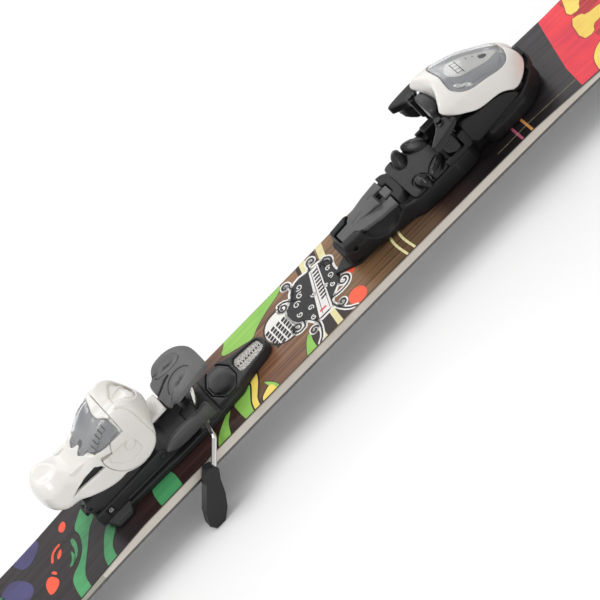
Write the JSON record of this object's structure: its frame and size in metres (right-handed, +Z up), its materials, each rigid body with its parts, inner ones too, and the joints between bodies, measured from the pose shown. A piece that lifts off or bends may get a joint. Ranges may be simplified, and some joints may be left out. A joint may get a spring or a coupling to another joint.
{
  "type": "alpine ski with binding",
  "caption": "Twin-tip alpine ski with a step-in safety binding standing open: toe unit with swinging wings, heel unit with cup and lever, and a deployed ski brake.",
  "frame": {"origin": "underside of the ski, mid-width, below the boot-centre mark", "axes": "+X towards the ski tip, +Y to the left, +Z up"},
  "size_m": [1.3, 0.108, 0.1196],
  "materials": {
    "topsheet": "semi-gloss printed sheet",
    "base_plastic": "waxed sintered base",
    "edge_steel": "ground steel",
    "laminate": "glass-fibre laminate",
    "core_wood": "raw poplar",
    "sidewall": "milled ABS",
    "spacer": "moulded filler",
    "black_plastic": "fine moulded grain",
    "screw_steel": "zinc plated",
    "pin_steel": "turned steel",
    "latch_grey": "satin moulded grey",
    "afd_plastic": "smooth low-friction plastic",
    "white_plastic": "glossy moulded white",
    "clear_plastic": "clear smoky polycarbonate",
    "indicator": "dark moulded slider",
    "spring_steel": "oiled spring wire",
    "stop_rubber": "matt rubber",
    "scale_foil": "brushed foil plate",
    "pad_grey": "satin moulded grey",
    "bracket_grey": "satin moulded grey",
    "wire_steel": "drawn and plated steel wire",
    "latch_steel": "stamped steel"
  },
  "bodies": {
    "ski": {"base_sheet": "base_plastic", "steel_edges": "edge_steel", "bottom_laminate": "laminate", "wood_core": "core_wood", "sidewall_left": "sidewall", "sidewall_right": "sidewall", "top_laminate": "laminate", "topsheet": "topsheet", "tip_spacer": "spacer", "tail_spacer": "spacer", "toe_track": "black_plastic", "toe_track_screws": "screw_steel", "heel_track": "black_plastic", "heel_track_screws": "screw_steel", "scale_plate": "scale_foil", "hex_cover": "black_plastic"},
    "toe_unit": {"toe_base": "black_plastic", "latch_pin": "pin_steel", "toe_tower": "black_plastic", "toe_stop": "stop_rubber", "toe_cover": "white_plastic", "toe_window": "clear_plastic", "toe_scale": "white_plastic", "toe_bumper": "black_plastic", "toe_spring": "spring_steel", "toe_spring_cap": "pin_steel", "wing_pin_left": "pin_steel", "wing_pin_right": "pin_steel"},
    "latch": {"latch_lever": "latch_grey"},
    "afd": {"afd_plate": "afd_plastic"},
    "wing_l": {"left_wing": "black_plastic"},
    "wing_r": {"right_wing": "black_plastic"},
    "toe_screw": {"toe_setting_screw": "screw_steel"},
    "toe_nut": {"toe_spring_nut": "indicator", "toe_indicator": "indicator"},
    "heel_unit": {"heel_base": "black_plastic", "heel_axle": "pin_steel", "brake_bracket_left": "bracket_grey", "brake_bracket_right": "bracket_grey", "brake_spring": "spring_steel"},
    "rear_latch": {"heel_latch": "latch_steel"},
    "cup": {"heel_cup": "white_plastic"},
    "lever": {"heel_lever": "white_plastic", "heel_window": "clear_plastic", "heel_spring": "spring_steel", "heel_piston": "pin_steel"},
    "heel_screw": {"heel_setting_screw": "screw_steel"},
    "heel_mark": {"heel_indicator": "indicator"},
    "brake": {"brake_wire": "wire_steel", "brake_tip_left": "black_plastic", "brake_tip_right": "black_plastic"},
    "pad": {"brake_pad": "pad_grey", "pad_pin": "pin_steel"}
  },
  "joints": [
    {"name": "toe_length_slide", "type": "slide", "parent": "ski", "child": "toe_unit", "axis": [1, 0, 0], "range_m": [-0.012, 0.012]},
    {"name": "latch_hinge", "type": "hinge", "parent": "toe_unit", "child": "latch", "pos_m": [0.036, 0, 0.0245], "axis": [0, -1, 0], "range_deg": [0, 40], "stiffness_Nm_per_rad": 0.05, "springref_deg": -22.92},
    {"name": "afd_side_slide", "type": "slide", "parent": "toe_unit", "child": "afd", "axis": [0, 1, 0], "range_m": [-0.006, 0.006], "stiffness_N_per_m": 800},
    {"name": "left_wing_hinge", "type": "hinge", "parent": "toe_unit", "child": "wing_l", "pos_m": [0.1365, 0.0203, 0.048], "axis": [0, 0, -1], "range_deg": [0, 28], "stiffness_Nm_per_rad": 6, "springref_deg": -17.19},
    {"name": "right_wing_hinge", "type": "hinge", "parent": "toe_unit", "child": "wing_r", "pos_m": [0.1365, -0.0203, 0.048], "axis": [0, 0, 1], "range_deg": [0, 28], "stiffness_Nm_per_rad": 6, "springref_deg": -17.19},
    {"name": "toe_setting_turn", "type": "hinge", "parent": "toe_unit", "child": "toe_screw", "pos_m": [0.2, 0, 0.034], "axis": [1, 0, 0], "range_deg": [-720, 720]},
    {"name": "toe_indicator_slide", "type": "slide", "parent": "toe_unit", "child": "toe_nut", "axis": [1, 0, 0], "range_m": [-0.0041, 0.0041], "deforming": ["toe_spring"]},
    {"name": "heel_length_slide", "type": "slide", "parent": "ski", "child": "heel_unit", "axis": [1, 0, 0], "range_m": [-0.01, 0.01]},
    {"name": "rear_latch_hinge", "type": "hinge", "parent": "heel_unit", "child": "rear_latch", "pos_m": [-0.206, 0, 0.0242], "axis": [0, 1, 0], "range_deg": [0, 10], "stiffness_Nm_per_rad": 0.2, "springref_deg": -17.19},
    {"name": "heel_cup_hinge", "type": "hinge", "parent": "heel_unit", "child": "cup", "pos_m": [-0.167, 0, 0.056], "axis": [0, 1, 0], "range_deg": [0, 35]},
    {"name": "heel_lever_hinge", "type": "hinge", "parent": "cup", "child": "lever", "pos_m": [-0.167, 0, 0.056], "axis": [0, -1, 0], "range_deg": [0, 8], "stiffness_Nm_per_rad": 4, "springref_deg": -17.19},
    {"name": "heel_setting_turn", "type": "hinge", "parent": "lever", "child": "heel_screw", "pos_m": [-0.22, 0, 0.059], "axis": [1, 0, 0], "range_deg": [-540, 540]},
    {"name": "heel_indicator_slide", "type": "slide", "parent": "lever", "child": "heel_mark", "axis": [1, 0, 0], "range_m": [-0.0031, 0.0031]},
    {"name": "brake_hinge", "type": "hinge", "parent": "heel_unit", "child": "brake", "pos_m": [-0.122, 0, 0.0195], "axis": [0, 1, 0], "range_deg": [0, 58], "stiffness_Nm_per_rad": 1.6, "springref_deg": -57.3},
    {"name": "brake_pad_hinge", "type": "hinge", "parent": "brake", "child": "pad", "pos_m": [-0.111, 0, 0.0434], "axis": [0, 1, 0], "range_deg": [-56, 0]}
  ],
  "couplings": [
    {"joint": "toe_indicator_slide", "follows": "toe_setting_turn", "m_per_rad": 0.00031831},
    {"joint": "heel_indicator_slide", "follows": "heel_setting_turn", "m_per_rad": 0.00031831},
    {"joint": "brake_pad_hinge", "follows": "brake_hinge", "ratio": -0.95}
  ]
}
